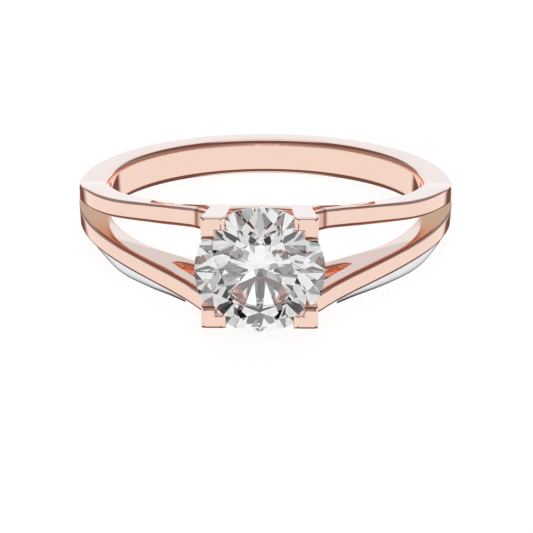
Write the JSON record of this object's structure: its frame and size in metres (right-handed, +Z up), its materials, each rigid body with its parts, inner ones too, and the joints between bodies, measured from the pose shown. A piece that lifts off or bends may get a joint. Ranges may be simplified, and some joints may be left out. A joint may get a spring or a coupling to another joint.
{
  "type": "split shank ring",
  "caption": "Split shank solitaire ring with pierced shoulders and a round brilliant in L-shaped corner prongs, lying on its side.",
  "frame": {"origin": "on the floor under the middle of the ring's bounding box", "axes": "+Z up from the floor the ring lies on, -Y toward the head with its stone, +X to the right seen from the head's side; the finger hole's axis leans 5.6 degrees from +Z toward +Y"},
  "size_m": [0.0206, 0.0242, 0.0065],
  "materials": {
    "rose_gold": "mirror polished",
    "white_gold": "polished",
    "stone": "faceted and polished"
  },
  "bodies": {
    "root": {"ring_metal": "rose_gold", "stone": "stone", "white_edge_left": "white_gold", "white_edge_right": "white_gold"}
  },
  "joints": []
}
